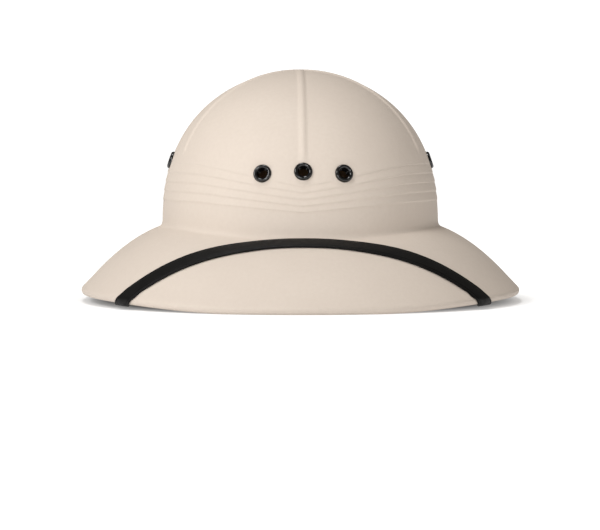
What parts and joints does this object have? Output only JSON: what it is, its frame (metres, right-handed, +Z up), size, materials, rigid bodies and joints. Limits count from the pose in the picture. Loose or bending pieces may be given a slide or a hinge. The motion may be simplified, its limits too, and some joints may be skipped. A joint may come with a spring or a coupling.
{
  "type": "pith helmet",
  "caption": "Moulded sun helmet with a domed, folded crown, a sloping brim with a rolled edge, eyelet vents, a chin strap and an inner headband, worn to shade the head.",
  "frame": {"origin": "on the resting plane, under the middle of the brim", "axes": "+X to the right as seen from the front, +Y to the back, +Z up; the front of the helmet faces -Y"},
  "size_m": [0.3064, 0.3578, 0.1618],
  "materials": {
    "shell": "moulded, fine cloth-like grain, soft sheen",
    "eyelet": "gloss black enamel",
    "strap": "matte black",
    "band": "satin black",
    "brow": "grey cloth"
  },
  "bodies": {
    "root": {"shell": "shell", "eyelet_front_centre": "eyelet", "eyelet_front_left": "eyelet", "eyelet_front_right": "eyelet", "eyelet_left": "eyelet", "eyelet_right": "eyelet", "chin_strap": "strap", "headband": "band", "brow_band": "brow", "post_front_left": "band", "post_front_right": "band", "post_back_left": "band", "post_back_right": "band", "post_side_left": "band", "post_side_right": "band"}
  },
  "joints": []
}
